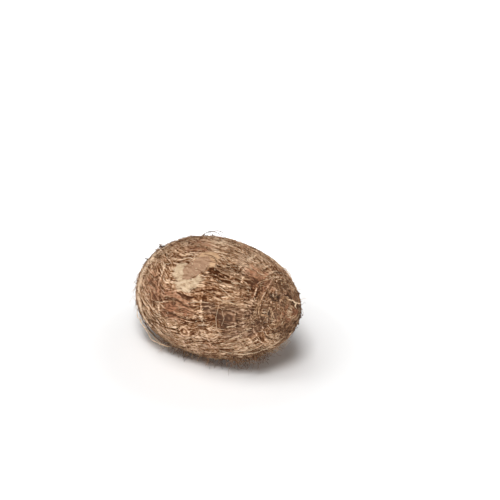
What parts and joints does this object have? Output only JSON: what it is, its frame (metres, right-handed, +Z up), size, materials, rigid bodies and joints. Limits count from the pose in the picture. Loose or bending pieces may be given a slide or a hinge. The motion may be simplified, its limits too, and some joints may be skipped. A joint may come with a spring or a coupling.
{
  "type": "taro root",
  "caption": "Whole taro corm lying on its side: egg-shaped, ringed with leaf scars, with side buds, a blunt growing tip and a scar at the old end.",
  "frame": {"origin": "bottom centre of the corm's box, on the surface it rests on", "axes": "+X along the corm towards its growing tip, +Z up"},
  "size_m": [0.0872, 0.0534, 0.0553],
  "materials": {
    "skin": "matte, fibrous and scaly"
  },
  "bodies": {
    "root": {"corm": "skin"}
  },
  "joints": []
}
